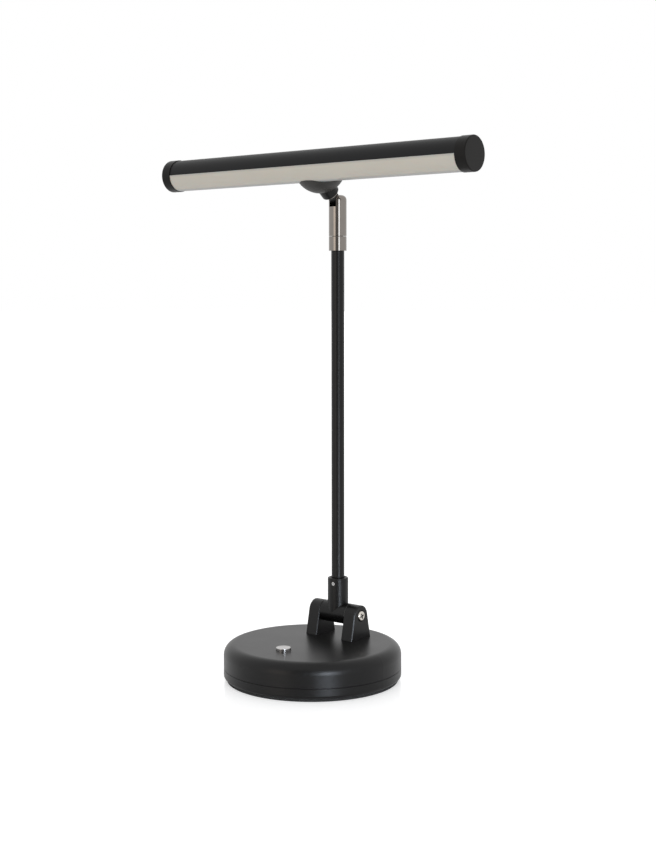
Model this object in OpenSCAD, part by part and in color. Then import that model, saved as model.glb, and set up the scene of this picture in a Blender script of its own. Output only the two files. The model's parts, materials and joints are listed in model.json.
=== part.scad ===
// Piano lamp: weighted round base, tilting pole, swivelling and tilting light bar.
// Origin: centre of the foot's underside. +Z up, -Y to the front (button side),
// +X to the viewer's right along the light bar. Millimetres.

/* [Base] */
// Diameter of the round base
base_d = 160; // [150:1:175]
// Height of the base's flat top above the table
base_h = 33.2; // [30:0.1:36]
// Radius of the rounded shoulder
shoulder_r = 10; // [6:0.5:12]
// Height of the seam between pan and cover
seam_z = 12; // [10:0.1:12.5]
// Wall thickness of the cover
cover_wall = 2.5; // [2:0.1:3]
// Thickness of the foam foot pad
pad_t = 2.7; // [1.5:0.1:3]
// Diameter of the ballast plate
ballast_d = 116; // [100:1:118]
// Thickness of the ballast plate
ballast_t = 10; // [8:0.5:10.5]

/* [Button] */
// Diameter of the push button
button_d = 13.2; // [11:0.1:15]
// How far the button stands above the cover
button_h = 2.8; // [2:0.1:4]
// Distance of the button in front of the base's centre
button_fwd = 39.8; // [38:0.1:44]
// Travel of the button
button_travel = 0.8; // [0.4:0.1:1]

/* [Hinge] */
// Distance of the hinge behind the base's centre
hinge_back = 36.5; // [34:0.1:38]
// Height of the hinge axis
hinge_z = 54.3; // [53:0.1:57]
// Gap between the two ears
ear_gap = 28.9; // [27:0.1:32]
// Thickness of each ear
ear_t = 12.6; // [11:0.1:14]
// Depth of each ear where it stands on the base
ear_foot = 28; // [25:0.5:32]
// Diameter of the hinge barrel and of the ears' round tops
barrel_d = 19.2; // [19:0.1:20]
// Diameter of the collar that holds the pole
collar_d = 18.9; // [18:0.1:19]
// Height of the collar's top edge
collar_top_z = 87; // [82:0.1:95]
// Hinge screw thread
hinge_screw_d = 5; // [4:0.5:5]

/* [Pole] */
// Outside diameter of the pole
pole_d = 11.8; // [11:0.1:12.4]
// Wall thickness of the pole
pole_wall = 1.5; // [1:0.1:2]
// Height of the pole's shiny sleeve above the table
sleeve_z = 384.4; // [340:0.1:420]

/* [Swivel] */
// Diameter of the sleeve at the top of the pole
sleeve_d = 16; // [15:0.1:17]
// Length of the sleeve
sleeve_len = 12.7; // [11:0.1:14]
// Diameter of the fork
fork_d = 16; // [15.6:0.1:17]
// Length of the fork from its lower face to the tips
fork_len = 36.5; // [35:0.1:38]
// Height of the tilt pivot above the fork's lower face
pivot_up = 29.7; // [28:0.1:30]
// Width of the fork's slot
slot_w = 7.4; // [6.8:0.1:7.8]

/* [Head] */
// Radius of the dome
dome_r = 23.1; // [22.5:0.1:24]
// Distance of the dome's centre behind the bar's axis
dome_back = 12.3; // [11.5:0.1:13]
// Turn of the dome's flat side from level towards the front
dome_tilt = 30; // [25:0.5:35]
// Diameter of the light bar
tube_d = 28.5; // [27:0.1:30]
// Overall length of the light bar with its caps
bar_len = 343; // [280:0.5:420]
// Distance of the bar's axis in front of the base's centre
tube_fwd = 0.8; // [0:0.1:3]
// Height of the bar's axis
tube_z = 457.2; // [456:0.1:459]
// Wall thickness of the bar
tube_wall = 1.4; // [1.2:0.1:1.8]
// Angle of the opal window round the bar
window_angle = 118; // [100:1:126]
// Turn of the window's middle from straight down towards the front
window_turn = 30; // [25:0.5:35]
// Diameter of the end caps
cap_d = 29.6; // [29.4:0.1:31]
// Length of the end caps
cap_len = 10.3; // [7:0.1:12]
// Number of light-emitting diodes
led_count = 36; // [12:2:38]

/* [Hidden] */
$fn = 96;

// Fits: pressed, running, seated, and loose for a screw; the base's seam; overshoot of a cut
press = 0.03;
fit = 0.05;
seat = 0.1;
loose = 0.2;
seam = 0.4;
cut = 1;

// Base
base_r = base_d / 2;
inner_r = base_r - cover_wall;
ceiling_z = base_h - cover_wall;
floor_t = 2.2;
floor_z = pad_t + floor_t;
pan_round = 2.6;
pan_lip = 2;
pan_lip_h = 1.2;
pad_inset = 0.2;
ballast_top = floor_z + ballast_t;
post_ring = 66.5;
post_r = 4;
post_solid = 4;
screw3_r = 1.5;
core3_r = 1.25;
screw4_r = 2;
flat_head_r = 3;
flat_head_h = 1.6;
pan_screw_len = 10;
lead_r = 1.2;
lead_hole_r = 1.7;
lead_sides = 8;
lead_bend = 2.2;

// Button and the board below it
flange_t = 1.2;
flange_r = button_d / 2 + 1.4;
flange_top = ceiling_z - 0.3;
button_gap = 0.25;
button_rim = 0.6;
button_stem_r = 2;
dish_r = 49;
dish_depth = 0.4;
board_z = ballast_top + 3.6;
board_t = 1.6;
board_size = [54, 32];
board_y = -button_fwd + 4;
board_top = board_z + board_t;
pillar_pos = [for (i = [-1, 1], j = [-1, 1]) [i * 23, board_y + j * 12]];
pillar_r = 2.75;
thread_depth = 6;
switch_w = 6;
switch_h = 2.6;
plunger_h = button_travel + 0.1;
plunger_tail = 1;
plunger_r = 1.6;
plunger_top = board_top + switch_h + plunger_h;

// Inlet
jack_z = 18.9;
jack_r = 4;
jack_face = base_r - 0.1;
jack_bore_r = 3.2;
jack_depth = 9;
jack_len = 12;
jack_tail = 3;
jack_tail_r = 3.4;
jack_pin_r = 1;
jack_flange_r = 5.4;
jack_flange_t = 1;
jack_nut_y = 75.2;
jack_nut_r = 5.2;
jack_nut_t = 2;

// Hinge
hinge_r = barrel_d / 2;
collar_r = collar_d / 2;
screw_r = hinge_screw_d / 2;
ear_in = ear_gap / 2;
ear_out = ear_in + ear_t;
ear_chamfer = 0.7;
ear_screw_x = ear_in + ear_t / 2 + 1;
ear_screw_y = 8.5;
ear_screw_len = 9;
hinge_head_r = 4.6;
hinge_head_h = 2.7;
head_recess_r = 5.1;
head_recess = 1.6;
hinge_nut_r = 4.7;
hinge_nut_t = 4;
nut_recess_r = 4.9;
nut_recess = 4.2;
washer_t = 0.25;
barrel_half = ear_in - washer_t - fit;
groove_in = screw_r + 0.6;
groove_out = 6.4;
groove_depth = 4.8;
lead_ring = 4.6;
lead_plane = ear_in + 2.9;
web_t = 4;
cavity_r = 6.6;
collar_bore_r = 3.5;
collar_edge = 1;
mouth_r = 2.2;
mouth_depth = 1.6;
pole_seat_z = hinge_z + 12.5;
set_screw_z = 82.1;
set_screw_turn = 10;
set_screw_r = 1.5;
set_hex_r = 0.8;
lead_elbow = 5;

// Pole and swivel
sleeve_top = sleeve_z + sleeve_len;
pole_in = pole_d / 2 - pole_wall;
pole_top = sleeve_z + 6.5;
sleeve_edge = 0.3;
stem_root = 8;
groove_h = 0.3;
fork_z = sleeve_top + groove_h;
fork_top = fork_z + fork_len;
pivot_z = fork_z + pivot_up;
lip_z = pivot_z - 3.6;
stem_r = 4.8;
stem_bore = 2.4;
ring_z = fork_z + 7;
ring_t = 1;
ring_slot_z = ring_z + 0.3;
ring_slot_t = 1.1;
ring_slot_r = stem_r - 0.7;
cup_r = 6;
fork_round = 4.3;
cup_top = fork_z + 13;
stem_top = fork_z + 11;
pin_r = 1.6;

// Tang, washer and boss, measured from the tilt pivot along the axis that leans to the bar
tang_lean = atan2(hinge_back + tube_fwd, tube_z - pivot_z);
bar_dist = norm([hinge_back + tube_fwd, tube_z - pivot_z]);
tang_t = slot_w - 0.4;
tang_half = 3.4;
tang_end_r = 3.5;
tang_stem_r = 3;
tang_lead_r = 1.4;
pin_in = tang_t / 2 - 1.6;
boss_near = 12.8;
boss_far = 22.4;
boss_r = 8.2;
boss_edge = 0.7;
washer_r = 7.2;
washer_near = boss_near - 0.7;
nut_seat = 23.4;
nut_r = 5.8;
nut_t = 4.5;
tang_end_z = nut_seat + nut_t + 1.5;
seat_pad_r = 7;

// Dome
dome_d = 2 * dome_r;
dome_wall = 2.2;
dome_top = -1;
dome_chamfer = 1.8;
dome_post_r = 3.2;
dome_post_end = 30;
dome_bore = 12;

// Light bar, in a frame whose window faces straight down
tube_r = tube_d / 2;
tube_in = tube_r - tube_wall;
cap_wall = 2.2;
tube_len = bar_len - 2 * cap_wall - 2 * seat;
half_window = window_angle / 2;
window_gap = 0.25;
leg_t = 1.1;
leg_extra = 8;
web_top = -1.4;
web_bottom = -3;
led_board_size = [10, 1.5];
led_board_len = tube_len - 14;
led_size = [3.5, 2.8, 0.8];
led_pitch = 8.6;
cap_edge = 0.9;
dome_screw_x = 9;
dome_screw_turn = -20;
dome_screw_r = 1.2;
lead_drop_x = 60;
lead_drop_y = 4;

// ---- placing helpers ----

// Turns a drawing in the Y-Z plane into a bar along X, centred on X = 0
module along_x(length) {
    rotate([90, 0, 90]) linear_extrude(length, center = true) children();
}

// Cylinder along +X from x1 to x2
module rod_x(r, x1, x2) {
    translate([x1, 0, 0]) rotate([0, 90, 0]) cylinder(r = r, h = x2 - x1);
}

// Hinge axis frame
module at_hinge() {
    translate([0, hinge_back, hinge_z]) children();
}

// Pole axis frame
module at_pole() {
    translate([0, hinge_back, 0]) children();
}

// Tilt pivot frame, with +Z along the leaning tang
module at_pivot() {
    translate([0, hinge_back, pivot_z]) rotate([tang_lean, 0, 0]) children();
}

// Bar frame, with the window facing -Z
module at_tube() {
    translate([0, -tube_fwd, tube_z]) rotate([-window_turn, 0, 0]) children();
}

// Dome frame, with +Z square to its flat side
module at_dome() {
    translate([0, dome_back - tube_fwd, tube_z]) rotate([dome_tilt, 0, 0]) children();
}

// A point of the lamp's frame, as the bar's frame has it
function in_tube(p) =
    let (dy = p[1] + tube_fwd, dz = p[2] - tube_z, c = cos(window_turn), k = sin(window_turn))
    [p[0], dy * c - dz * k, dy * k + dz * c];

// Ring sector between two angles, drawn in the plane
module ring_sector(r_in, r_out, a1, a2) {
    reach = r_out * 2;
    span = a2 - a1;
    wedge = [for (i = [0:6]) reach * [cos(a1 + span * i / 6), sin(a1 + span * i / 6)]];
    intersection() {
        difference() {
            circle(r_out);
            circle(r_in);
        }
        polygon(concat([[0, 0]], wedge));
    }
}

// Disc profile with a rounded upper edge, for turning
module rounded_disc(r, z1, z2, round_r) {
    square_h = z2 - z1 - round_r;
    translate([0, z1]) square([r, square_h]);
    translate([0, z1]) square([r - round_r, z2 - z1]);
    intersection() {
        translate([r - round_r, z2 - round_r]) circle(round_r);
        translate([r - round_r, z2 - round_r]) square(round_r);
    }
}

// Pan-head screw pointing down, its head's underside at Z = 0
module pan_screw(r, head_r, head_h, length, recess_r) {
    difference() {
        union() {
            rotate_extrude() rounded_disc(head_r, 0, head_h, head_h * 0.55);
            translate([0, 0, -length]) cylinder(r = r, h = length);
        }
        cross_recess(recess_r, head_h, head_h * 0.6);
    }
}

// Cross recess cut into a screw head whose top is at z_top
module cross_recess(reach, z_top, depth) {
    for (a = [0, 90]) rotate([0, 0, a])
        translate([-reach, -reach * 0.18, z_top - depth]) cube([reach * 2, reach * 0.36, depth + cut]);
}

// ---- base ----

module foot_pad() {
    color([0.07, 0.07, 0.07]) cylinder(r = base_r - pan_round - pad_inset, h = pad_t);
}

module base_pan() {
    lip_r = inner_r - seat;
    rim_top = seam_z - seam;
    color([0.1, 0.1, 0.11]) difference() {
        union() {
            rotate_extrude() {
                translate([0, pad_t]) square([base_r - pan_round, rim_top - pad_t]);
                translate([0, pad_t + pan_round]) square([base_r, rim_top - pad_t - pan_round]);
                translate([base_r - pan_round, pad_t + pan_round]) circle(pan_round);
            }
            cylinder(r = lip_r, h = seam_z + pan_lip_h);
        }
        translate([0, 0, floor_z]) cylinder(r = lip_r - pan_lip, h = base_h);
        translate([0, 0, -cut]) cylinder(r = base_r, h = pad_t + cut);
        pan_screw_places() {
            cylinder(r = screw3_r + seat, h = floor_z + cut);
            translate([0, 0, pad_t - seat])
                cylinder(r1 = flat_head_r + loose, r2 = screw3_r + seat, h = flat_head_h + loose);
        }
    }
}

// The four places where the pan is screwed to the cover
module pan_screw_places() {
    for (a = [45:90:315]) rotate([0, 0, a]) translate([post_ring, 0, 0]) children();
}

module pan_screws() {
    color([0.62, 0.62, 0.62]) pan_screw_places() translate([0, 0, pad_t + seat]) difference() {
        union() {
            cylinder(r1 = flat_head_r, r2 = screw3_r, h = flat_head_h);
            cylinder(r = screw3_r, h = pan_screw_len);
        }
        mirror([0, 0, 1]) cross_recess(flat_head_r * 0.55, 0, flat_head_h * 0.6);
    }
}

module base_cover() {
    color([0.12, 0.12, 0.125]) difference() {
        union() {
            difference() {
                rotate_extrude() rounded_disc(base_r, seam_z, base_h, shoulder_r);
                rotate_extrude() rounded_disc(inner_r, seam_z - cut, ceiling_z, shoulder_r - cover_wall);
            }
            pan_screw_places() translate([0, 0, floor_z + seat])
                cylinder(r = post_r, h = ceiling_z - floor_z);
        }
        pan_screw_places() cylinder(r = screw3_r + fit, h = ceiling_z - post_solid);
        translate([0, 0, ceiling_z - cut]) {
            translate([0, -button_fwd, 0]) cylinder(r = button_d / 2 + button_gap, h = cover_wall + 2 * cut);
            ear_screw_places() cylinder(r = screw4_r + loose, h = cover_wall + 2 * cut);
            translate([-lead_plane, hinge_back + lead_ring, 0])
                cylinder(r = lead_hole_r, h = cover_wall + 2 * cut);
        }
        at_inlet() {
            translate([0, 0, -cover_wall * 2]) cylinder(r = jack_r + seat, h = base_r);
            translate([0, 0, -jack_flange_t]) cylinder(r = jack_flange_r + seat, h = base_r);
        }
    }
}

module ballast_plate() {
    color([0.35, 0.34, 0.33]) difference() {
        translate([0, 0, floor_z]) cylinder(d = ballast_d, h = ballast_t);
        for (p = pillar_pos) translate([p[0], p[1], ballast_top - thread_depth])
            cylinder(r = core3_r, h = thread_depth + cut);
    }
}

module board_pillars() {
    pillar_h = board_z - ballast_top;
    color([0.75, 0.7, 0.5]) for (p = pillar_pos) translate([p[0], p[1], ballast_top]) difference() {
        cylinder(r = pillar_r, h = pillar_h, $fn = 6);
        translate([0, 0, -cut]) cylinder(r = screw3_r + fit, h = pillar_h + 2 * cut);
    }
}

module driver_board() {
    color([0.08, 0.3, 0.18]) difference() {
        union() {
            translate([-board_size[0] / 2, board_y - board_size[1] / 2, board_z])
                cube([board_size[0], board_size[1], board_t]);
            translate([0, board_y, board_top]) {
                // Inductor and capacitor
                translate([12, -6, 0]) cylinder(r = 4, h = 4);
                translate([15, 7, 0]) cylinder(r = 2.5, h = 4.5);
                // Block capacitor, connector for the head's lead, driver chip
                translate([-20, -5, 0]) cube([6, 10, 4.5]);
                translate([-8, 8, 0]) cube([7, 5, 3]);
                translate([-4, 2, 0]) cube([5, 4, 1.4]);
            }
        }
        for (p = pillar_pos) translate([p[0], p[1], board_z - cut])
            cylinder(r = screw3_r + seat, h = board_t + 2 * cut);
    }
}

module board_screws() {
    color([0.62, 0.62, 0.62]) for (p = pillar_pos)
        translate([p[0], p[1], board_top]) pan_screw(screw3_r, 2.7, 1.8, board_t + 3, 1.7);
}

module touch_switch() {
    well = plunger_tail + button_travel + seat;
    color([0.15, 0.15, 0.15]) translate([0, -button_fwd, board_top]) difference() {
        translate([-switch_w / 2, -switch_w / 2, 0]) cube([switch_w, switch_w, switch_h]);
        translate([0, 0, switch_h - well]) cylinder(r = plunger_r + fit, h = well + cut);
    }
}

module switch_plunger() {
    tail_z = board_top + switch_h - plunger_tail;
    color([0.85, 0.85, 0.82]) translate([0, -button_fwd, tail_z])
        cylinder(r = plunger_r, h = plunger_top - tail_z);
}

module dimmer_button() {
    top = base_h + button_h;
    color([0.72, 0.71, 0.7]) translate([0, -button_fwd, 0]) {
        difference() {
            rotate_extrude() rounded_disc(button_d / 2, flange_top - flange_t / 2, top, button_rim);
            translate([0, 0, top + dish_r - dish_depth]) sphere(r = dish_r);
        }
        translate([0, 0, flange_top - flange_t]) cylinder(r = flange_r, h = flange_t);
        translate([0, 0, plunger_top + fit])
            cylinder(r = button_stem_r, h = flange_top - plunger_top - fit);
    }
}

// Inlet axis frame, with +Z pointing out of the back of the base
module at_inlet() {
    translate([0, jack_face, jack_z]) rotate([-90, 0, 0]) children();
}

module dc_jack() {
    color([0.06, 0.06, 0.06]) at_inlet() difference() {
        union() {
            translate([0, 0, -jack_flange_t]) cylinder(r = jack_flange_r, h = jack_flange_t);
            translate([0, 0, -jack_len]) cylinder(r = jack_r, h = jack_len);
            translate([0, 0, -jack_len - jack_tail]) cylinder(r = jack_tail_r, h = jack_tail);
        }
        difference() {
            translate([0, 0, -jack_depth]) cylinder(r = jack_bore_r, h = jack_depth + cut);
            translate([0, 0, -jack_depth]) cylinder(r = jack_pin_r, h = jack_depth - 1.5);
        }
    }
}

module jack_nut() {
    color([0.7, 0.69, 0.66]) at_inlet() translate([0, 0, jack_nut_y - jack_face]) difference() {
        cylinder(r = jack_nut_r, h = jack_nut_t, $fn = 6);
        translate([0, 0, -cut]) cylinder(r = jack_r + fit, h = jack_nut_t + 2 * cut);
    }
}

module jack_lead() {
    plug = [-17, board_y + 13, board_top];
    color([0.1, 0.1, 0.1]) lead_run([
        [0, jack_face - jack_len - jack_tail - seat, jack_z],
        [0, 56, jack_z],
        [plug[0], 46, jack_z + 2],
        plug + [0, 6, 4.5],
        plug + [0, 0, 4.5],
        plug
    ]);
}

// Round lead swept along its route, with every inner corner rounded off
module lead_run(route) {
    points = rounded_route(route);
    last = len(points) - 1;
    ways = [for (i = [0:last]) unit(points[min(i + 1, last)] - points[max(i - 1, 0)])];
    sides = side_vectors(ways, square_to(ways[0]));
    rings = [for (i = [0:last], k = [0:lead_sides - 1])
        let (a = 360 * k / lead_sides)
        points[i] + lead_r * (cos(a) * sides[i] + sin(a) * cross(ways[i], sides[i]))];
    walls = [for (i = [0:last - 1], k = [0:lead_sides - 1])
        let (a = i * lead_sides, next = (k + 1) % lead_sides)
        [a + k, a + lead_sides + k, a + lead_sides + next, a + next]];
    near_end = [[for (k = [0:lead_sides - 1]) k]];
    far_end = [[for (k = [lead_sides - 1:-1:0]) last * lead_sides + k]];
    polyhedron(rings, concat(walls, near_end, far_end));
}

function unit(v) = v / norm(v);
function square_to(v) = unit(cross(v, abs(v[2]) > 0.9 ? [1, 0, 0] : [0, 0, 1]));
function square_part(side, way) = unit(side - (side * way) * way);
function side_vectors(ways, side, i = 0) = i == len(ways) ? [] :
    let (now = square_part(side, ways[i])) concat([now], side_vectors(ways, now, i + 1));

// Each inner corner becomes three points on a short curve
function rounded_route(route) = [for (i = [0:len(route) - 1])
    each (i == 0 || i == len(route) - 1 ? [route[i]] : corner(route[i - 1], route[i], route[i + 1]))];
function corner(before, at, after) =
    let (
        back = min(lead_bend, norm(before - at) * 0.45) * unit(before - at),
        on = min(lead_bend, norm(after - at) * 0.45) * unit(after - at)
    )
    [at + back, at + 0.25 * (back + on), at + on];

// ---- hinge ----

// Outline of an ear in its own plane: wide foot, straight sides, round top on the hinge axis
module ear_outline(shrink) {
    r = hinge_r - shrink;
    foot = [ear_foot / 2 - shrink, base_h - hinge_z];
    lean = atan2(foot[1], foot[0]) + acos(r / norm(foot));
    tangent = r * [cos(lean), sin(lean)];
    circle(r, $fn = 72);
    polygon([[-foot[0], foot[1]], foot, tangent, [-tangent[0], tangent[1]]]);
}

// Ear blank with chamfered edges, from the inner face at x = 0 outwards
module ear_blank() {
    inner_edge = ear_chamfer * 0.7;
    rotate([90, 0, 90]) hull() {
        linear_extrude(ear_t) ear_outline(ear_chamfer);
        translate([0, 0, inner_edge]) linear_extrude(ear_t - ear_chamfer - inner_edge) ear_outline(0);
    }
}

// Screws that hold an ear down, on both ears
module ear_screw_places() {
    for (s = [-1, 1], j = [-1, 1])
        translate([s * ear_screw_x, hinge_back + j * ear_screw_y, 0]) children();
}

module ear_body(side) {
    difference() {
        at_hinge() mirror([side < 0 ? 1 : 0, 0, 0]) translate([ear_in, 0, 0]) ear_blank();
        at_hinge() rod_x(screw_r + seat, -ear_out - cut, ear_out + cut);
        ear_screw_places() translate([0, 0, base_h - cut]) cylinder(r = screw4_r + fit, h = ear_screw_len);
    }
}

module left_ear() {
    color([0.11, 0.11, 0.11]) difference() {
        ear_body(-1);
        // Pocket for the hexagon nut
        at_hinge() translate([-ear_out - cut, 0, 0]) rotate([0, 90, 0])
            cylinder(r = nut_recess_r, h = nut_recess + cut, $fn = 6);
        // Ring groove and channel for the lead
        at_hinge() difference() {
            rod_x(groove_out, -ear_in - groove_depth, -ear_in + cut);
            rod_x(groove_in, -ear_in - groove_depth - cut, -ear_in + 2 * cut);
        }
        translate([-lead_plane, hinge_back + lead_ring, base_h - cut])
            cylinder(r = lead_hole_r, h = hinge_z - base_h + cut);
    }
}

module right_ear() {
    color([0.11, 0.11, 0.11]) difference() {
        ear_body(1);
        // Counterbore for the hinge screw's head
        at_hinge() rod_x(head_recess_r, ear_out - head_recess, ear_out + cut);
    }
}

module ear_screws() {
    color([0.62, 0.62, 0.62]) ear_screw_places() translate([0, 0, ceiling_z]) mirror([0, 0, 1])
        pan_screw(screw4_r, 3.6, 2.4, ear_screw_len, 2.3);
}

module hinge_screw() {
    reach = 2 * ear_out - head_recess - 2.4;
    color([0.78, 0.75, 0.7]) at_hinge() translate([ear_out - head_recess, 0, 0]) rotate([0, 90, 0])
        rotate([0, 0, 20]) pan_screw(screw_r, hinge_head_r, hinge_head_h, reach, 2.6);
}

module hinge_nut() {
    color([0.7, 0.69, 0.66]) at_hinge() translate([-ear_out + seat, 0, 0]) rotate([0, 90, 0]) difference() {
        cylinder(r = hinge_nut_r, h = hinge_nut_t, $fn = 6);
        translate([0, 0, -cut]) cylinder(r = screw_r + fit, h = hinge_nut_t + 2 * cut);
    }
}

module hinge_washers() {
    color([0.82, 0.8, 0.74]) at_hinge() for (s = [0, 1]) mirror([s, 0, 0]) difference() {
        rod_x(hinge_r - 0.3, ear_in - washer_t, ear_in);
        rod_x(groove_out + loose, ear_in - cut, ear_in + cut);
    }
}

module base_lead() {
    plug = [-4.5, board_y + 10.5, board_top + 3.1];
    // Quarter turn in the ear's groove, from above the screw to behind it
    arc = [for (a = [75:-15:15])
        [-lead_plane, hinge_back + lead_ring * cos(a), hinge_z + lead_ring * sin(a)]];
    color([0.1, 0.1, 0.1]) lead_run(concat(
        [for (x = [seat, 1]) [-ear_in - x, hinge_back, hinge_z + lead_ring]],
        arc,
        [
            [-lead_plane, hinge_back + lead_ring, hinge_z - 4],
            [-lead_plane, hinge_back + lead_ring, ceiling_z - 4],
            plug + [0, 0, 3.2],
            plug
        ]
    ));
}

// T-shaped socket: barrel across the hinge, collar up for the pole
module hinge_socket() {
    color([0.12, 0.12, 0.12]) difference() {
        union() {
            at_hinge() rod_x(hinge_r, -barrel_half, barrel_half);
            at_pole() rotate_extrude() rounded_disc(collar_r, hinge_z, collar_top_z, collar_edge);
        }
        // Hollow between the two end webs, for the lead
        at_hinge() rod_x(cavity_r, -barrel_half + web_t, barrel_half - web_t);
        at_hinge() rod_x(screw_r + fit, -barrel_half - cut, barrel_half + cut);
        at_hinge() translate([0, 0, lead_ring]) rod_x(lead_hole_r, -barrel_half - cut, 0);
        at_pole() {
            translate([0, 0, pole_seat_z]) cylinder(d = pole_d + 2 * fit, h = collar_top_z);
            translate([0, 0, hinge_z]) cylinder(r = collar_bore_r, h = pole_seat_z);
            translate([0, 0, collar_top_z - mouth_depth])
                cylinder(r1 = pole_d / 2, r2 = pole_d / 2 + mouth_r, h = mouth_depth + fit);
        }
        at_set_screw() cylinder(r = set_screw_r + fit, h = collar_r + cut);
    }
}

// Frame of the set screw, with +Z pointing out of the collar
module at_set_screw() {
    translate([0, hinge_back, set_screw_z]) rotate([90, 0, set_screw_turn]) children();
}

module pole_set_screw() {
    color([0.8, 0.78, 0.74]) at_set_screw() difference() {
        translate([0, 0, pole_d / 2 + fit]) cylinder(r = set_screw_r, h = collar_r - pole_d / 2 - 0.35);
        translate([0, 0, collar_r - 1.5]) cylinder(r = set_hex_r, h = 1.5 + cut, $fn = 6);
    }
}

// ---- pole and swivel ----

module pole() {
    color([0.12, 0.12, 0.125]) at_pole() difference() {
        translate([0, 0, pole_seat_z]) cylinder(d = pole_d, h = pole_top - pole_seat_z);
        translate([0, 0, pole_seat_z - cut]) cylinder(r = pole_in, h = pole_top);
    }
}

module arm_lead() {
    low = hinge_z + lead_ring;
    color([0.1, 0.1, 0.1]) at_pole() {
        translate([0, 0, low + lead_elbow]) cylinder(r = lead_r, h = stem_top - low - lead_elbow);
        translate([-lead_elbow, 0, low + lead_elbow]) rotate([-90, 0, 0])
            rotate_extrude(angle = 90) translate([lead_elbow, 0]) circle(lead_r);
        translate([0, 0, low]) rod_x(lead_r, -ear_in + seat, -lead_elbow);
    }
}

module swivel_sleeve() {
    color([0.62, 0.58, 0.53]) at_pole() difference() {
        rotate_extrude() rounded_disc(sleeve_d / 2, sleeve_z, sleeve_top, sleeve_edge);
        translate([0, 0, sleeve_z - cut])
            cylinder(d = pole_d + 2 * fit, h = pole_top - sleeve_z + cut + seat);
        cylinder(r = stem_r + press, h = sleeve_top + cut);
    }
}

// Hollow stem, fixed in the pole and sleeve, on which the fork turns
module swivel_stem() {
    color([0.7, 0.66, 0.5]) at_pole() difference() {
        union() {
            translate([0, 0, sleeve_z - stem_root])
                cylinder(r = pole_in - fit, h = stem_root + pole_top - sleeve_z + seat);
            translate([0, 0, pole_top]) cylinder(r = stem_r, h = stem_top - pole_top);
        }
        translate([0, 0, sleeve_z - stem_root - cut]) cylinder(r = stem_bore, h = stem_top);
        // Groove for the retaining ring
        translate([0, 0, ring_slot_z]) difference() {
            cylinder(r = stem_r + cut, h = ring_slot_t);
            translate([0, 0, -cut]) cylinder(r = ring_slot_r, h = ring_slot_t + 2 * cut);
        }
    }
}

module retaining_ring() {
    color([0.5, 0.5, 0.5]) at_pole() translate([0, 0, ring_slot_z + fit]) linear_extrude(ring_t)
        ring_sector(ring_slot_r + fit, cup_r - 0.3, 100, 440);
}

// Fork: solid shank with a rounded top and a slot across it between two ears
module swivel_fork() {
    color([0.62, 0.58, 0.53]) at_pole() difference() {
        rotate_extrude() rounded_disc(fork_d / 2, fork_z, fork_top, fork_round);
        translate([0, 0, fork_z - cut]) cylinder(r = stem_r + fit, h = ring_z - fork_z + cut);
        translate([0, 0, ring_z]) cylinder(r = cup_r, h = cup_top - ring_z);
        translate([0, 0, cup_top - cut]) cylinder(r = lead_hole_r, h = lip_z - cup_top + 2 * cut);
        translate([-slot_w / 2, -fork_d, lip_z]) cube([slot_w, fork_d * 2, fork_len]);
        translate([0, 0, pivot_z]) rod_x(pin_r + press, -fork_d, fork_d);
    }
}

// Two stub pins flush with the fork, one in each ear, so that the lead can pass between them
module pivot_pins() {
    color([0.62, 0.58, 0.53]) at_pole() intersection() {
        translate([0, 0, pivot_z]) for (s = [0, 1]) mirror([s, 0, 0]) rod_x(pin_r, pin_in, fork_d / 2);
        cylinder(r = fork_d / 2 - press, h = fork_top);
    }
}

module fork_lead() {
    color([0.1, 0.1, 0.1]) at_pole() translate([0, 0, stem_top + seat])
        cylinder(r = lead_r, h = lip_z - stem_top - 2 * seat);
}

// ---- head ----

// Flat tang in the fork's slot, round stem up into the dome
module knuckle_tang() {
    color([0.12, 0.12, 0.12]) at_pivot() difference() {
        union() {
            rod_x(tang_end_r, -tang_t / 2, tang_t / 2);
            translate([-tang_t / 2, -tang_half, 0]) cube([tang_t, 2 * tang_half, washer_near]);
            cylinder(r = tang_stem_r, h = tang_end_z);
        }
        translate([0, 0, -tang_end_r - cut]) cylinder(r = tang_lead_r, h = tang_end_z + tang_end_r + 2 * cut);
        rod_x(pin_r + fit, -tang_t, tang_t);
    }
}

// Thin washer between the tang's shoulder and the boss
module boss_washer() {
    color([0.7, 0.69, 0.66]) at_pivot() difference() {
        translate([0, 0, washer_near]) cylinder(r = washer_r, h = boss_near - washer_near);
        cylinder(r = tang_stem_r + fit, h = boss_far);
    }
}

// Round boss that carries the dome, hollowed to the dome's ball at its far end
module dome_boss() {
    low = boss_near + boss_edge;
    color([0.12, 0.12, 0.12]) difference() {
        at_pivot() rotate_extrude() {
            translate([0, low]) square([boss_r, boss_far - low]);
            translate([0, boss_near]) square([boss_r - boss_edge, 2 * boss_edge]);
            translate([boss_r - boss_edge, low]) circle(boss_edge);
        }
        at_pivot() cylinder(r = tang_stem_r + fit, h = boss_far + cut);
        at_dome() sphere(r = dome_r + press);
    }
}

// Half of the dome's outline for turning: a ball cut flat on top, with a chamfered edge
module dome_outline(inset) {
    r = dome_r - inset;
    top = dome_top - inset;
    flat = r - dome_chamfer;
    side = top - dome_chamfer - cut;
    intersection() {
        circle(r);
        polygon([[0, -r - cut], [r + cut, -r - cut], [r + cut, side], [flat, top], [0, top]]);
    }
}

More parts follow.
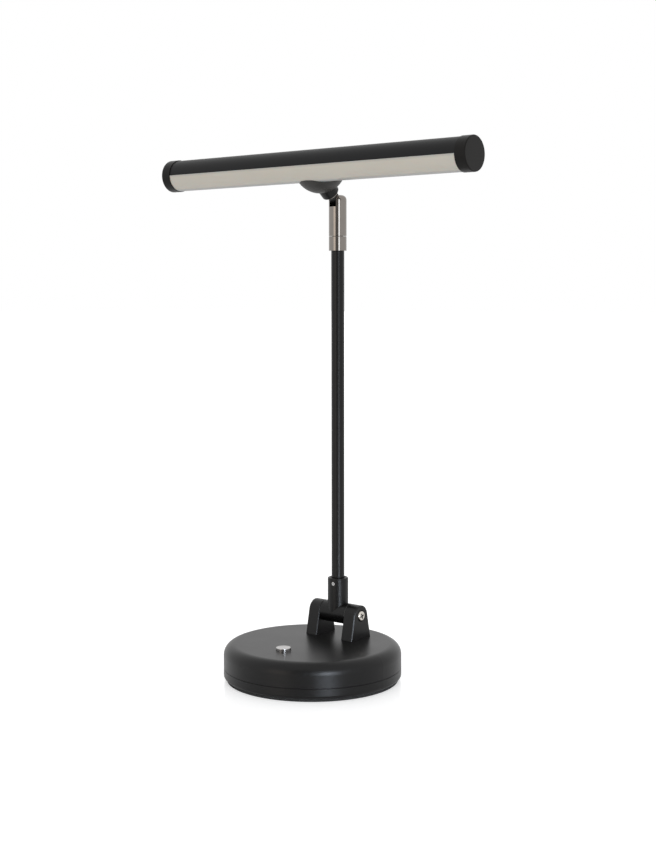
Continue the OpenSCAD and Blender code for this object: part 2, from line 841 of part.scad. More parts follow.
// Hollow dome with a saddle for the bar, a pad for the nut and two posts for the bar's screws
module mount_dome() {
    color([0.13, 0.13, 0.13]) difference() {
        union() {
            at_dome() rotate_extrude() difference() {
                dome_outline(0);
                dome_outline(dome_wall);
            }
            intersection() {
                at_dome() sphere(r = dome_r - dome_wall / 2);
                union() {
                    at_pivot() translate([0, 0, boss_near]) cylinder(r = seat_pad_r, h = nut_seat - boss_near);
                    dome_screw_places() cylinder(r = dome_post_r, h = dome_post_end - tube_r);
                }
            }
        }
        // Saddle for the light bar
        translate([0, -tube_fwd, tube_z]) rod_x(tube_r + fit, -dome_d, dome_d);
        dome_screw_places() cylinder(r = core3_r, h = dome_bore);
        at_pivot() cylinder(r = tang_stem_r + fit, h = nut_seat + cut);
    }
}

// Screws from inside the bar into the dome's posts, +Z pointing away from the bar's axis
module dome_screw_places() {
    for (x = [-dome_screw_x, dome_screw_x])
        translate([x, -tube_fwd, tube_z]) rotate([dome_screw_turn - 90, 0, 0]) translate([0, 0, tube_r])
            children();
}

module dome_nut() {
    color([0.7, 0.69, 0.66]) at_pivot() translate([0, 0, nut_seat]) difference() {
        cylinder(r = nut_r, h = nut_t, $fn = 6);
        translate([0, 0, -cut]) cylinder(r = tang_stem_r + fit, h = nut_t + 2 * cut);
    }
}

module dome_screws() {
    head_r = 2.6;
    sag = tube_in - sqrt(tube_in * tube_in - head_r * head_r);
    color([0.62, 0.62, 0.62]) dome_screw_places() translate([0, 0, -tube_wall - sag - fit])
        mirror([0, 0, 1]) pan_screw(dome_screw_r, head_r, 1.8, dome_bore - 2, 1.6);
}

// Half-shell extrusion with the web that carries the board
module tube_housing() {
    side = 90 - half_window;
    color([0.13, 0.13, 0.135]) difference() {
        at_tube() along_x(tube_len) {
            ring_sector(tube_in, tube_r, -side, 180 + side);
            intersection() {
                circle(tube_in + loose);
                translate([-tube_r, web_bottom]) square([tube_d, web_top - web_bottom]);
            }
        }
        dome_screw_places() translate([0, 0, -tube_wall - cut])
            cylinder(r = dome_screw_r + loose, h = tube_wall + 2 * cut);
        at_pivot() translate([0, 0, bar_dist - tube_r - cut]) cylinder(r = lead_hole_r, h = tube_r + 2 * cut);
        at_tube() translate([lead_drop_x, lead_drop_y, web_bottom - cut]) cylinder(r = lead_hole_r, h = 4);
    }
}

// Opal cover flush with the bar, with two legs tucked behind the housing's edges
module diffuser() {
    edge = half_window - window_gap;
    color([0.84, 0.82, 0.76]) at_tube() along_x(tube_len) {
        ring_sector(tube_in - loose, tube_r, -90 - edge, -90 + edge);
        ring_sector(tube_in - seat - leg_t, tube_in - seat, -90 - edge - leg_extra, -90 + edge + leg_extra);
    }
}

module led_board() {
    w = led_board_size[0];
    t = led_board_size[1];
    color([0.9, 0.9, 0.88]) at_tube() translate([-led_board_len / 2, -w / 2, web_bottom - t])
        cube([led_board_len, w, t]);
}

module led_chips() {
    z = web_bottom - led_board_size[1] - led_size[2];
    color([0.95, 0.85, 0.35]) at_tube() for (i = [0:led_count - 1])
        translate([(i - (led_count - 1) / 2) * led_pitch - led_size[0] / 2, -led_size[1] / 2, z])
            cube(led_size);
}

// Cap along +X: skirt over the bar's end, rounded outer rim
module end_cap() {
    cap_r = cap_d / 2;
    translate([bar_len / 2, 0, 0]) rotate([0, 90, 0]) difference() {
        rotate_extrude() rounded_disc(cap_r, -cap_len, 0, cap_edge);
        translate([0, 0, -cap_len - cut]) cylinder(r = tube_r + press, h = cap_len + cut - cap_wall);
    }
}

module right_end_cap() {
    color([0.1, 0.1, 0.1]) at_tube() end_cap();
}

module left_end_cap() {
    color([0.1, 0.1, 0.1]) at_tube() mirror([1, 0, 0]) end_cap();
}

module head_lead() {
    past_axis = 1.5;
    lean = [0, -sin(tang_lean), cos(tang_lean)];
    pivot = [0, hinge_back, pivot_z];
    turned = in_tube(pivot + (bar_dist + past_axis) * lean);
    color([0.1, 0.1, 0.1]) at_tube() lead_run([
        in_tube(pivot - (tang_end_r - 0.5) * lean),
        turned,
        [lead_drop_x, lead_drop_y, turned[2]],
        [lead_drop_x, lead_drop_y, web_bottom + seat]
    ]);
}

foot_pad();
base_pan();
pan_screws();
base_cover();
ballast_plate();
board_pillars();
driver_board();
board_screws();
touch_switch();
switch_plunger();
dimmer_button();
dc_jack();
jack_nut();
jack_lead();
left_ear();
right_ear();
ear_screws();
hinge_screw();
hinge_nut();
hinge_washers();
base_lead();
hinge_socket();
pole_set_screw();
pole();
arm_lead();
swivel_sleeve();
swivel_stem();
retaining_ring();
swivel_fork();
pivot_pins();
fork_lead();
knuckle_tang();
boss_washer();
dome_boss();
mount_dome();
dome_nut();
dome_screws();
tube_housing();
diffuser();
led_board();
led_chips();
left_end_cap();
right_end_cap();
head_lead();
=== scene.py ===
"""Piano lamp: weighted round base, tilting pole, swivelling and tilting light bar.

Everything is in metres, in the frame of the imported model: the origin is the centre of the
foot's underside, +Z is up, -Y is the button's side and +X runs to the right along the bar.
"""
import json
import math

import bmesh
import bpy
from bpy.props import FloatProperty, FloatVectorProperty, PointerProperty
from mathutils import Matrix, Vector


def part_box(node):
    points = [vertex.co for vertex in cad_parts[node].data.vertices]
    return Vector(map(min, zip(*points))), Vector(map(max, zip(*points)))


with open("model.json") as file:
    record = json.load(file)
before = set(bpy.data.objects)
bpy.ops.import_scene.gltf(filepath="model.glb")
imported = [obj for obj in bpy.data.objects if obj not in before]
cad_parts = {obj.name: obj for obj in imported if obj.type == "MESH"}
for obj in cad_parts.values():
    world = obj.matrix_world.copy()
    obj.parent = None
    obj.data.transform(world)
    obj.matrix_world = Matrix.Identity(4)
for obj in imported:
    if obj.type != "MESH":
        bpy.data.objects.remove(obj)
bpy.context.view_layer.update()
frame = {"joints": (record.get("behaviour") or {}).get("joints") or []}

bl_info = {
    "name": "Piano lamp",
    "version": (1, 0, 0),
    "blender": (4, 5, 0),
    "location": "View3D > Sidebar > Piano lamp",
    "description": "Dresses the packed piano lamp and sets up its studio",
    "category": "Add Mesh",
}

MM = 0.001
WHITE = (1.0, 1.0, 1.0, 1.0)

# From the floor's middle to its edges
FLOOR_REACH = 30.0

# Lights: turn from the camera's side in degrees, distance from the lamp, width and height, colour
STRIP_LIGHT = (18.5, 2.2, (0.44, 1.5), (0.82, 0.91, 1.0))
WARM_LIGHT = (-42.5, 2.2, (1.04, 1.3), (1.0, 0.84, 0.69))
LOW_LIGHT = (19.0, 1.0, (0.9, 0.2), (0.8, 0.88, 1.0))

# A light stands at the first height and faces the lamp's axis at the second
MID_HEIGHTS = (0.3, 0.3)
LOW_HEIGHTS = (0.12, 0.04)

# The low light has a grid that narrows it
LOW_SPREAD = math.radians(24)

# Dark cloth beside the camera: turns of its two ends in degrees, distance, foot and top
FLAG_TURNS = (10.0, -29.0)
FLAG_DISTANCE = 2.0
FLAG_FOOT = -0.6
FLAG_TOP = 1.4


# ---- settings ----

class StageSettings(bpy.types.PropertyGroup):
    """Camera, floor, lights and dark cloth"""
    camera_place: FloatVectorProperty(
        name="Camera place", description="Where the camera stands",
        default=(0.81359, -0.96901, 0.34135), unit="LENGTH")
    camera_azimuth: FloatProperty(
        name="Azimuth", description="Turn of the view about the vertical",
        default=math.radians(39.375), unit="ROTATION")
    camera_pitch: FloatProperty(
        name="Pitch", description="How far the camera looks down",
        default=math.radians(5.05), unit="ROTATION")
    camera_roll: FloatProperty(
        name="Roll", description="Turn of the camera about its own axis",
        default=math.radians(-0.08), unit="ROTATION")
    lens: FloatProperty(
        name="Lens", description="Focal length on a 36 mm sensor, in millimetres",
        default=60.464, unit="CAMERA")
    world_level: FloatProperty(
        name="World level", description="Brightness of the soft light from all round", default=0.8)
    floor_colour: FloatVectorProperty(
        name="Floor colour", description="Colour of the pale floor",
        default=(0.9, 0.9, 0.9), subtype="COLOR")
    floor_glow: FloatProperty(
        name="Floor glow", description="White added to what the camera sees of the floor",
        default=0.45, subtype="FACTOR")
    mirror_glow: FloatProperty(
        name="Mirror glow", description="White added to what metal and clear plastic show of the floor",
        default=0.1, subtype="FACTOR")
    flag_level: FloatProperty(
        name="Flag level", description="Brightness of the dark cloth beside the camera", default=0.26)
    strip_level: FloatProperty(
        name="Strip level", description="Brightness of the narrow cool strip light", default=4.6)
    low_level: FloatProperty(
        name="Low level", description="Brightness of the low gridded light on the base", default=0.46)
    warm_level: FloatProperty(
        name="Warm level", description="Brightness of the warm light on the left", default=0.95)


class FinishSettings(bpy.types.PropertyGroup):
    """Colours of the lamp's finishes"""
    paint: FloatVectorProperty(
        name="Paint", description="Colour of the black powder coat",
        default=(0.003, 0.0028, 0.0028), subtype="COLOR")
    aluminium: FloatVectorProperty(
        name="Aluminium", description="Colour of the black anodised light bar",
        default=(0.005, 0.0051, 0.0056), subtype="COLOR")
    cap: FloatVectorProperty(
        name="Caps", description="Colour of the end caps' black plastic",
        default=(0.005, 0.0044, 0.0038), subtype="COLOR")
    dome: FloatVectorProperty(
        name="Dome", description="Colour of the dome's warm black plastic",
        default=(0.021, 0.019, 0.0168), subtype="COLOR")
    nickel: FloatVectorProperty(
        name="Nickel", description="Colour of the polished black nickel",
        default=(0.24, 0.219, 0.2), subtype="COLOR")
    opal: FloatVectorProperty(
        name="Opal", description="Colour of the unlit opal cover",
        default=(0.575, 0.542, 0.474), subtype="COLOR")
    button: FloatVectorProperty(
        name="Button", description="Colour of the bright push button",
        default=(0.455, 0.442, 0.436), subtype="COLOR")


# ---- shader maths ----

def arithmetic(operation, swapped=False):
    """A method that joins a level and another value in a Math node."""
    def method(self, other):
        values = (other, self) if swapped else (self, other)
        return self.math(operation, *values)
    return method


class Level:
    """A number or colour that varies over a surface. Arithmetic on it adds Math nodes."""

    def __init__(self, finish, socket):
        self.finish = finish
        self.socket = socket

    def math(self, operation, *values):
        return self.finish.node("Math", {"operation": operation}, dict(enumerate(values)))

    __add__ = arithmetic("ADD")
    __radd__ = arithmetic("ADD", swapped=True)
    __sub__ = arithmetic("SUBTRACT")
    __rsub__ = arithmetic("SUBTRACT", swapped=True)
    __mul__ = arithmetic("MULTIPLY")
    __rmul__ = arithmetic("MULTIPLY", swapped=True)
    __truediv__ = arithmetic("DIVIDE")
    __mod__ = arithmetic("FLOORED_MODULO")
    __pow__ = arithmetic("POWER")
    __gt__ = arithmetic("GREATER_THAN")
    __lt__ = arithmetic("LESS_THAN")

    def __abs__(self):
        return self.math("ABSOLUTE", self)

    def clamp(self):
        """The level, kept between 0 and 1."""
        return self.finish.node("Clamp", values={0: self})


class Finish:
    """One material: a Principled shader and the nodes that vary it over Object coordinates."""

    def __init__(self, name, **constants):
        self.material = bpy.data.materials.new(name)
        self.material.use_nodes = True
        self.tree = self.material.node_tree
        self.tree.nodes.clear()
        self.shader = self.tree.nodes.new("ShaderNodeBsdfPrincipled")
        self.out = self.tree.nodes.new("ShaderNodeOutputMaterial")
        self.tree.links.new(self.shader.outputs[0], self.out.inputs[0])
        for constant, value in constants.items():
            socket = constant.replace("_", " ").title().replace("Ior", "IOR")
            self.shader.inputs[socket].default_value = value
        self.place = self.node("TexCoord", output="Object")

    def node(self, kind, settings=None, values=None, output=0):
        """Adds a node: its settings go in first, then the numbers or links of its sockets."""
        made = self.tree.nodes.new("ShaderNode" + kind)
        for name, value in (settings or {}).items():
            setattr(made, name, value)
        for socket, value in (values or {}).items():
            if isinstance(value, Level):
                self.tree.links.new(value.socket, made.inputs[socket])
            else:
                made.inputs[socket].default_value = value
        return Level(self, made.outputs[output])

    def rays(self, kind):
        """1 where a ray of this kind looks, such as Camera, and 0 for all others."""
        return self.node("LightPath", output="Is %s Ray" % kind)

    def feed(self, socket, value):
        """Links a level to an input of the shader."""
        self.tree.links.new(value.socket, self.shader.inputs[socket])

    def axes(self):
        """The three Object coordinates, one by one."""
        split = self.tree.nodes.new("ShaderNodeSeparateXYZ")
        self.tree.links.new(self.place.socket, split.inputs[0])
        return [Level(self, socket) for socket in split.outputs]

    def noise(self, size, detail=2.0, stretch=(1.0, 1.0, 1.0)):
        """Noise from 0 to 1 with lumps of this size in metres, longer where stretch is below 1."""
        scale = [along / size for along in stretch]
        place = self.node("Mapping", values={"Vector": self.place, "Scale": scale})
        return self.node("TexNoise", values={"Vector": place, "Scale": 1.0, "Detail": detail})

    def mix(self, amount, first, second):
        """The first colour where the amount is 0, the second where it is 1."""
        return self.node("Mix", {"data_type": "RGBA"}, {0: amount, 6: first, 7: second}, output=2)

    def shades(self, amount, dark, light):
        """Two colours of three numbers each, mixed by a level."""
        return self.mix(amount, (*dark, 1.0), (*light, 1.0))

    def relief(self, height, depth):
        """Feeds a height from 0 to 1 into the shader's normal, at a depth in metres."""
        self.feed("Normal", self.node("Bump", values={"Height": height, "Distance": depth}))


def tint(colour, factor):
    """The colour times a factor, darker below 1."""
    return tuple(min(1.0, part * factor) for part in colour)


# ---- finishes ----

def powder_coat(colour):
    """Satin black powder coat: fine orange peel, slightly cloudy gloss."""
    finish = Finish("black_powder_coat", specular_ior_level=0.275)
    cloud = finish.noise(0.035, detail=3.0)
    peel = finish.noise(0.0006, detail=1.0)
    finish.feed("Base Color", finish.shades(cloud, tint(colour, 0.85), tint(colour, 1.2)))
    finish.feed("Roughness", 0.29 + 0.06 * cloud + 0.04 * peel)
    finish.relief(peel, 0.02 * MM)
    return finish.material


def anodised(colour):
    """Black anodised aluminium, with faint drawing lines along the bar."""
    finish = Finish("black_anodised", specular_ior_level=0.22)
    lines = finish.noise(0.0005, detail=2.0, stretch=(0.01, 1.0, 1.0))
    cloud = finish.noise(0.05, detail=2.0, stretch=(0.4, 1.0, 1.0))
    finish.feed("Base Color", finish.shades(cloud, tint(colour, 0.9), tint(colour, 1.15)))
    finish.feed("Roughness", 0.36 + 0.06 * lines + 0.05 * cloud)
    finish.relief(lines, 0.008 * MM)
    return finish.material


def cap_plastic(colour):
    """Moulded black plastic of the end caps, a little glossier than the bar."""
    finish = Finish("cap_plastic", specular_ior_level=0.17)
    grain = finish.noise(0.0004, detail=2.0)
    cloud = finish.noise(0.012, detail=2.0)
    finish.feed("Base Color", finish.shades(cloud, tint(colour, 0.9), tint(colour, 1.2)))
    finish.feed("Roughness", 0.3 + 0.08 * grain + 0.05 * cloud)
    finish.relief(grain, 0.012 * MM)
    return finish.material


def turned_nickel(name, colour, roughness):
    """Polished black nickel over turned brass, with the lathe's faint rings."""
    finish = Finish(name, metallic=1.0)
    rings = finish.noise(0.00025, detail=1.0, stretch=(0.02, 0.02, 1.0))
    cloud = finish.noise(0.006, detail=3.0)
    finish.feed("Base Color", finish.shades(cloud, tint(colour, 0.92), tint(colour, 1.06)))
    finish.feed("Roughness", roughness + 0.05 * rings + 0.04 * cloud)
    finish.relief(rings, 0.002 * MM)
    return finish.material


def pressed_chrome(colour, axis, rim):
    """Bright button: a brushed dish inside a smoother rim whose brighter colour is a painted highlight.
    """
    finish = Finish("button_chrome", metallic=1.0)
    blend = 0.5 * MM
    x, y = finish.axes()[:2]
    away = ((x - axis[0]) ** 2.0 + (y - axis[1]) ** 2.0) ** 0.5
    rim_gloss_and_highlight = ((away - rim) / blend).clamp()
    lines = finish.noise(0.0004, detail=1.0, stretch=(1.0, 0.1, 1.0))
    dish = finish.shades(lines, tint(colour, 0.94), tint(colour, 1.05))
    # The rim's brighter colour is a painted highlight; its lower roughness makes the rim smoother
    finish.feed("Base Color", finish.mix(rim_gloss_and_highlight, dish, (*tint(colour, 1.22), 1.0)))
    finish.feed("Roughness", 0.2 + 0.05 * lines - 0.08 * rim_gloss_and_highlight)
    finish.relief(lines, 0.002 * MM)
    return finish.material


def opal_cover(colour, bottom, top):
    """Milky plastic cover: warm in the middle, with painted shade, darker and grey, along its two long
    edges.
    """
    finish = Finish("opal_cover", subsurface_weight=0.1, subsurface_scale=0.004,
                    specular_ior_level=0.45)
    bottom_shade_band = 1.8 * MM
    top_shade_band = 4.0 * MM
    lines = finish.noise(0.0009, detail=2.0, stretch=(0.004, 1.0, 1.0))
    cloud = finish.noise(0.02, detail=2.0, stretch=(0.5, 1.0, 1.0))
    z = finish.axes()[2]
    # Painted shade: within a band at the top and at the bottom edge the cover turns darker and grey
    top_edge_shade = (1.0 - (top - z) / top_shade_band).clamp()
    bottom_edge_shade = (1.0 - (z - bottom) / bottom_shade_band).clamp()
    grey = (sum(colour) / 3,) * 3
    warm = finish.shades(cloud, tint(colour, 0.97), tint(colour, 1.04))
    body = finish.mix(top_edge_shade, warm, (*tint(grey, 0.6), 1.0))
    body = finish.mix(bottom_edge_shade, body, (*tint(grey, 0.7), 1.0))
    finish.feed("Base Color", body)
    finish.feed("Roughness", 0.34 + 0.08 * lines)
    finish.relief(lines, 0.006 * MM)
    return finish.material


def cross_screw(name, dark, light, axis, head_start):
    """Plated screw along X, with painted shade in the cross recess of its +X head."""
    finish = Finish(name, metallic=1.0)
    turn = math.radians(20)
    reach = 2.5 * MM
    half_width = 0.65 * MM
    x, y, z = finish.axes()
    across = y - axis.y
    up = z - axis.z
    first = abs(across * math.cos(turn) + up * math.sin(turn))
    second = abs(up * math.cos(turn) - across * math.sin(turn))
    arms = ((first < half_width) * (second < reach) + (second < half_width) * (first < reach)).clamp()
    mottle = finish.noise(1.2 * MM, detail=4.0)
    plated = finish.shades(mottle, dark, light)
    # Painted shade: the cross recess in the head gets a near-black colour
    finish.feed("Base Color", finish.mix(arms * (x > head_start), plated, (*tint(dark, 0.05), 1.0)))
    finish.feed("Roughness", 0.24 + 0.1 * mottle + 0.3 * arms)
    finish.relief(mottle, 0.01 * MM)
    return finish.material


def plain_metal(name, dark, light, roughness, size):
    """Bare or plated metal with a mottled surface."""
    finish = Finish(name, metallic=1.0)
    mottle = finish.noise(size, detail=4.0)
    finish.feed("Base Color", finish.shades(mottle, dark, light))
    finish.feed("Roughness", roughness + 0.12 * mottle)
    finish.relief(mottle, 0.01 * MM)
    return finish.material


def steel():
    """Zinc-plated steel of the hidden screws, the nuts and the retaining ring."""
    return plain_metal("zinc_steel", (0.5, 0.49, 0.47), (0.66, 0.65, 0.62), 0.2, 1.5 * MM)


def plain_plastic(name, dark, light, roughness, size, depth=0.01 * MM):
    """Moulded plastic, rubber or foam with a grain of the given size."""
    finish = Finish(name)
    grain = finish.noise(size, detail=3.0)
    finish.feed("Base Color", finish.shades(grain, dark, light))
    finish.feed("Roughness", roughness + 0.1 * grain)
    finish.relief(grain, depth)
    return finish.material


def black_plastic(name):
    """Black plastic of the touch switch and the inlet."""
    return plain_plastic(name, (0.012, 0.012, 0.013), (0.022, 0.022, 0.023), 0.35, 0.8 * MM)


def circuit_board(name, mask, copper, pitch):
    """Solder mask over tracks that run along X in some places and along Y in others."""
    finish = Finish(name)
    x, y = finish.axes()[:2]
    across = abs((x / pitch) % 1.0 - 0.5) > 0.36
    along = abs((y / pitch) % 1.0 - 0.5) > 0.4
    weave = finish.noise(0.003, detail=1.0) > 0.5
    tracks = (across * weave + along * (1.0 - weave)).clamp()
    finish.feed("Base Color", finish.shades(tracks, mask, copper))
    finish.feed("Roughness", 0.3 + 0.15 * tracks)
    finish.relief(tracks, 0.03 * MM)
    return finish.material


# ---- pieces ----

def dress(finish, *names):
    """Gives CAD nodes one material in place of their own."""
    for name in names:
        thing = bpy.data.objects[name]
        thing.data.materials.clear()
        thing.data.materials.append(finish)


def new_piece(name, bm):
    """Turns a bmesh into an object at the origin."""
    mesh = bpy.data.meshes.new(name)
    bm.to_mesh(mesh)
    bm.free()
    piece = bpy.data.objects.new(name, mesh)
    bpy.context.scene.collection.objects.link(piece)
    return piece


# ---- operators ----

class LAMP_OT_stage(bpy.types.Operator):
    """Sets up the camera, the pale floor and the soft studio light"""
    bl_idname = "lamp.stage"
    bl_label = "Studio"

    def execute(self, context):
        scene = context.scene
        stage = scene.lamp_stage
        self.camera(scene, stage)
        self.floor(stage)
        self.world(scene, stage)
        self.softbox("strip", stage, stage.strip_level, STRIP_LIGHT, MID_HEIGHTS)
        self.softbox("warm", stage, stage.warm_level, WARM_LIGHT, MID_HEIGHTS)
        low = self.softbox("low", stage, stage.low_level, LOW_LIGHT, LOW_HEIGHTS)
        low.data.spread = LOW_SPREAD
        self.flag(stage)
        scene.view_settings.view_transform = "Standard"
        return {"FINISHED"}

    def camera(self, scene, stage):
        """Camera placed and turned as it was solved from the photo."""
        data = bpy.data.cameras.new("camera")
        data.lens = stage.lens
        data.sensor_width = 36.0
        data.clip_start = 0.05
        camera = bpy.data.objects.new("camera", data)
        camera.matrix_world = (
            Matrix.Translation(stage.camera_place)
            @ Matrix.Rotation(stage.camera_azimuth, 4, "Z")
            @ Matrix.Rotation(math.pi / 2 - stage.camera_pitch, 4, "X")
            @ Matrix.Rotation(stage.camera_roll, 4, "Z")
        )
        scene.collection.objects.link(camera)
        scene.camera = camera

    def around(self, stage, turn, distance, height):
        """A place at this turn from the camera's side, in degrees, and distance from the lamp."""
        angle = stage.camera_azimuth + math.radians(turn)
        return Vector((distance * math.sin(angle), -distance * math.cos(angle), height))

    def floor(self, stage):
        """Pale floor that glows a little to the camera, and less in mirrors."""
        bm = bmesh.new()
        bmesh.ops.create_grid(bm, x_segments=1, y_segments=1, size=FLOOR_REACH)
        floor = new_piece("floor", bm)
        finish = Finish("floor", base_color=(*stage.floor_colour, 1.0), roughness=0.12,
                        specular_ior_level=0.5)
        glow = finish.tree.nodes.new("ShaderNodeEmission")
        add = finish.tree.nodes.new("ShaderNodeAddShader")
        mirrored = (finish.rays("Glossy") + finish.rays("Transmission")).clamp()
        strength = finish.rays("Camera") * stage.floor_glow + mirrored * stage.mirror_glow
        finish.tree.links.new(strength.socket, glow.inputs["Strength"])
        finish.tree.links.new(finish.shader.outputs[0], add.inputs[0])
        finish.tree.links.new(glow.outputs[0], add.inputs[1])
        finish.tree.links.new(add.outputs[0], finish.out.inputs[0])
        floor.data.materials.append(finish.material)

    def world(self, scene, stage):
        """White where the camera and mirrors look, and of the world level for all other rays."""
        world = bpy.data.worlds.new("studio")
        scene.world = world
        world.use_nodes = True
        tree = world.node_tree
        tree.nodes.clear()
        out = tree.nodes.new("ShaderNodeOutputWorld")
        soft = tree.nodes.new("ShaderNodeBackground")
        white = tree.nodes.new("ShaderNodeBackground")
        blend = tree.nodes.new("ShaderNodeMixShader")
        path = tree.nodes.new("ShaderNodeLightPath")
        soft.inputs["Strength"].default_value = stage.world_level
        for background in (soft, white):
            background.inputs["Color"].default_value = WHITE
        looked_at = path.outputs["Is Camera Ray"]
        for kind in ("Glossy", "Transmission"):
            either = tree.nodes.new("ShaderNodeMath")
            either.operation = "MAXIMUM"
            tree.links.new(looked_at, either.inputs[0])
            tree.links.new(path.outputs["Is %s Ray" % kind], either.inputs[1])
            looked_at = either.outputs[0]
        tree.links.new(looked_at, blend.inputs[0])
        tree.links.new(soft.outputs[0], blend.inputs[1])
        tree.links.new(white.outputs[0], blend.inputs[2])
        tree.links.new(blend.outputs[0], out.inputs[0])

    def softbox(self, name, stage, level, setup, heights):
        """Area light of an even brightness, facing the piano lamp's axis."""
        turn, distance, size, colour = setup
        height, aim = heights
        data = bpy.data.lights.new(name, "AREA")
        data.shape = "RECTANGLE"
        data.size, data.size_y = size
        data.color = colour
        data.energy = level * math.pi * size[0] * size[1]
        light = bpy.data.objects.new(name, data)
        light.location = self.around(stage, turn, distance, height)
        light.rotation_mode = "QUATERNION"
        light.rotation_quaternion = (Vector((0, 0, aim)) - light.location).to_track_quat("-Z", "Y")
        light.visible_camera = False
        bpy.context.scene.collection.objects.link(light)
        return light

    def flag(self, stage):
        """Dark cloth beside the camera, seen only in mirrors."""
        bm = bmesh.new()
        right, left = [self.around(stage, turn, FLAG_DISTANCE, 0.0) for turn in FLAG_TURNS]
        outline = ((right, FLAG_FOOT), (left, FLAG_FOOT), (left, FLAG_TOP), (right, FLAG_TOP))
        bm.faces.new([bm.verts.new((place.x, place.y, height)) for place, height in outline])
        flag = new_piece("flag", bm)
        cloth = Finish("flag_cloth", base_color=(0.02, 0.02, 0.02, 1.0), roughness=0.9,
                       emission_color=(1.0, 0.97, 0.95, 1.0), emission_strength=stage.flag_level)
        flag.data.materials.append(cloth.material)
        for ray in ("camera", "diffuse", "transmission", "shadow", "volume_scatter"):
            setattr(flag, "visible_" + ray, False)


class LAMP_OT_base(bpy.types.Operator):
    """Finishes the base: powder-coated cover and pan, the foam foot and the pan's screws"""
    bl_idname = "lamp.base"
    bl_label = "Base"

    def execute(self, context):
        colours = context.scene.lamp_finish
        dress(powder_coat(colours.paint), "base_cover", "base_pan")
        foam = plain_plastic("foot_foam", (0.012, 0.012, 0.012), (0.03, 0.03, 0.03),
                             0.85, 0.9 * MM, 0.2 * MM)
        dress(foam, "foot_pad")
        dress(steel(), "pan_screws")
        return {"FINISHED"}


class LAMP_OT_button(bpy.types.Operator):
    """Finishes the push button, its switch and the plunger between them"""
    bl_idname = "lamp.button"
    bl_label = "Button"

    def execute(self, context):
        colours = context.scene.lamp_finish
        rim_width = 1.4 * MM
        lo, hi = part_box("dimmer_button")
        middle = (lo + hi) / 2
        rim = (hi.x - lo.x) / 2 - rim_width
        dress(pressed_chrome(colours.button, (middle.x, middle.y), rim), "dimmer_button")
        dress(black_plastic("switch_black"), "touch_switch")
        dress(plain_plastic("plunger_white", (0.62, 0.61, 0.58), (0.7, 0.69, 0.66), 0.35, MM),
              "switch_plunger")
        return {"FINISHED"}


class LAMP_OT_driver(bpy.types.Operator):
    """Finishes the ballast plate and the driver board on its pillars"""
    bl_idname = "lamp.driver"
    bl_label = "Ballast and driver"

    def execute(self, context):
        dress(plain_metal("ballast_steel", (0.12, 0.115, 0.11), (0.25, 0.24, 0.23), 0.45, 8.0 * MM),
              "ballast_plate")
        dress(plain_metal("pillar_brass", (0.5, 0.37, 0.16), (0.65, 0.5, 0.25), 0.25, 2.0 * MM),
              "board_pillars")
        dress(circuit_board("green_board", (0.01, 0.09, 0.045), (0.03, 0.2, 0.1), 2.0 * MM),
              "driver_board")
        dress(steel(), "board_screws")
        return {"FINISHED"}


class LAMP_OT_inlet(bpy.types.Operator):
    """Finishes the power inlet at the back of the base and its nut"""
    bl_idname = "lamp.inlet"
    bl_label = "Power inlet"

    def execute(self, context):
        dress(black_plastic("inlet_black"), "dc_jack")
        dress(plain_metal("inlet_nut", (0.5, 0.49, 0.47), (0.62, 0.6, 0.56), 0.25, 1.5 * MM),
              "jack_nut")
        return {"FINISHED"}


class LAMP_OT_hinge(bpy.types.Operator):
    """Finishes the two ears and the socket between them, with their screws, nut and washers"""
    bl_idname = "lamp.hinge"
    bl_label = "Hinge"

    def execute(self, context):
        dress(powder_coat(context.scene.lamp_finish.paint), "left_ear", "right_ear", "hinge_socket")
        dress(plain_plastic("washer_nylon", (0.12, 0.12, 0.115), (0.16, 0.16, 0.155), 0.4, MM),
              "hinge_washers")
        tilt = next(joint for joint in frame["joints"] if joint["name"] == "arm_tilt")
        head_depth = 4.0 * MM
        head_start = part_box("hinge_screw")[1].x - head_depth
        screw = cross_screw("hinge_screw_nickel", (0.57, 0.54, 0.49), (0.72, 0.68, 0.62),
                            Vector(tilt["pos_m"]), head_start)
        dress(screw, "hinge_screw")
        dress(plain_metal("set_screw_steel", (0.5, 0.5, 0.5), (0.64, 0.64, 0.65), 0.2, 0.8 * MM),
              "pole_set_screw")
        dress(steel(), "hinge_nut", "ear_screws")
        return {"FINISHED"}


class LAMP_OT_pole(bpy.types.Operator):
    """Finishes the pole"""
    bl_idname = "lamp.pole"
    bl_label = "Pole"

    def execute(self, context):
        dress(powder_coat(context.scene.lamp_finish.paint), "pole")
        return {"FINISHED"}


class LAMP_OT_swivel(bpy.types.Operator):
    """Finishes the sleeve and fork at the pole's top, with the stem and ring inside"""
    bl_idname = "lamp.swivel"
    bl_label = "Swivel and fork"

    def execute(self, context):
        nickel = turned_nickel("black_nickel", context.scene.lamp_finish.nickel, 0.05)
        dress(nickel, "swivel_sleeve", "swivel_fork", "pivot_pins")
        # The stem's dark colour is painted shade for the groove between sleeve and fork, where the stem
        # shows
        dress(plain_metal("stem_plating_painted_shade", (0.1, 0.09, 0.08), (0.16, 0.145, 0.13), 0.25, 2.0 * MM),
              "swivel_stem")
        dress(steel(), "retaining_ring")
        return {"FINISHED"}


class LAMP_OT_head_mount(bpy.types.Operator):
    """Finishes the tang, washer, boss and dome that carry the light bar, with nut and screws"""
    bl_idname = "lamp.head_mount"
    bl_label = "Head mount"

    def execute(self, context):
        colours = context.scene.lamp_finish
        dress(powder_coat(colours.paint), "knuckle_tang", "dome_boss")
        plastic = plain_plastic("dome_plastic", tint(colours.dome, 0.9), tint(colours.dome, 1.15),
                                0.42, 0.7 * MM)
        dress(plastic, "mount_dome")
        dress(turned_nickel("washer_nickel", tint(colours.nickel, 1.7), 0.12), "boss_washer")
        dress(steel(), "dome_nut", "dome_screws")
        return {"FINISHED"}


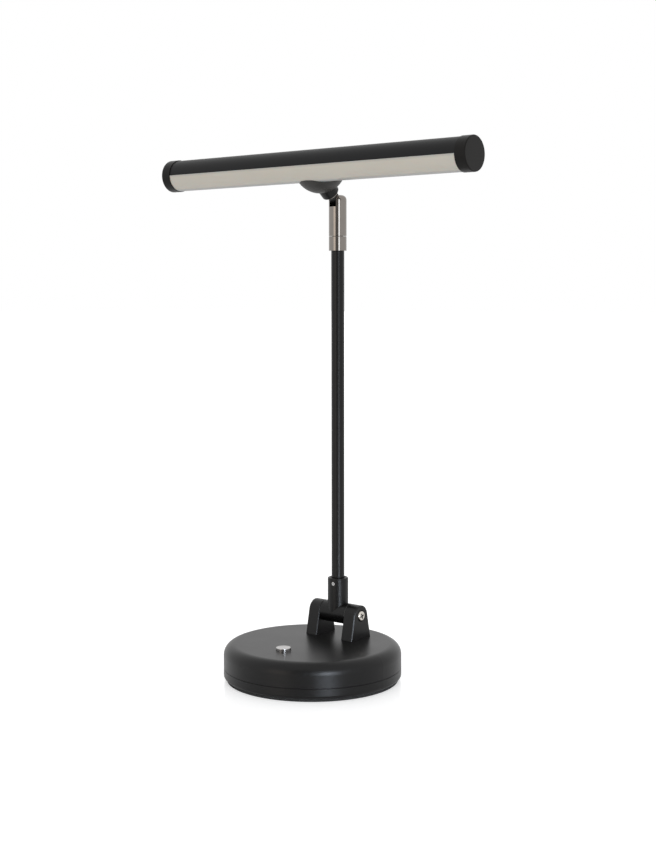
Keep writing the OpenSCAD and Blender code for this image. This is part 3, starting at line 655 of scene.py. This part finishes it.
class LAMP_OT_light_bar(bpy.types.Operator):
    """Finishes the bar's housing, opal cover, end caps and the board of diodes inside"""
    bl_idname = "lamp.light_bar"
    bl_label = "Light bar"

    def execute(self, context):
        colours = context.scene.lamp_finish
        dress(anodised(colours.aluminium), "tube_housing")
        dress(cap_plastic(colours.cap), "left_end_cap", "right_end_cap")
        lo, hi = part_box("diffuser")
        dress(opal_cover(colours.opal, lo.z, hi.z), "diffuser")
        dress(circuit_board("white_board", (0.75, 0.75, 0.72), (0.68, 0.68, 0.64), 4.0 * MM),
              "led_board")
        dress(plain_plastic("led_phosphor", (0.75, 0.55, 0.12), (0.85, 0.65, 0.2), 0.3, 1.5 * MM),
              "led_chips")
        return {"FINISHED"}


class LAMP_OT_leads(bpy.types.Operator):
    """Finishes the stretches of lead inside the lamp"""
    bl_idname = "lamp.leads"
    bl_label = "Leads"

    def execute(self, context):
        sheath = plain_plastic("lead_sheath", (0.012, 0.012, 0.012), (0.025, 0.025, 0.025),
                               0.45, MM)
        dress(sheath, "jack_lead", "base_lead", "arm_lead", "fork_lead", "head_lead")
        return {"FINISHED"}


# ---- panel and registration ----

OPERATORS = (
    LAMP_OT_stage, LAMP_OT_base, LAMP_OT_button, LAMP_OT_driver, LAMP_OT_inlet, LAMP_OT_hinge,
    LAMP_OT_pole, LAMP_OT_swivel, LAMP_OT_head_mount, LAMP_OT_light_bar, LAMP_OT_leads,
)


class LAMP_PT_panel(bpy.types.Panel):
    """Lists the lamp's operators in the 3D view's sidebar"""
    bl_idname = "LAMP_PT_panel"
    bl_label = "Piano lamp"
    bl_space_type = "VIEW_3D"
    bl_region_type = "UI"
    bl_category = "Piano lamp"

    def draw(self, context):
        for operator in OPERATORS:
            self.layout.operator(operator.bl_idname)


CLASSES = (StageSettings, FinishSettings, *OPERATORS, LAMP_PT_panel)


def register():
    for cls in CLASSES:
        bpy.utils.register_class(cls)
    bpy.types.Scene.lamp_stage = PointerProperty(type=StageSettings)
    bpy.types.Scene.lamp_finish = PointerProperty(type=FinishSettings)


def unregister():
    del bpy.types.Scene.lamp_finish
    del bpy.types.Scene.lamp_stage
    for cls in reversed(CLASSES):
        bpy.utils.unregister_class(cls)


def main():
    register()
    for operator in OPERATORS:
        group, name = operator.bl_idname.split(".")
        getattr(getattr(bpy.ops, group), name)()


if __name__ == "__main__":
    main()
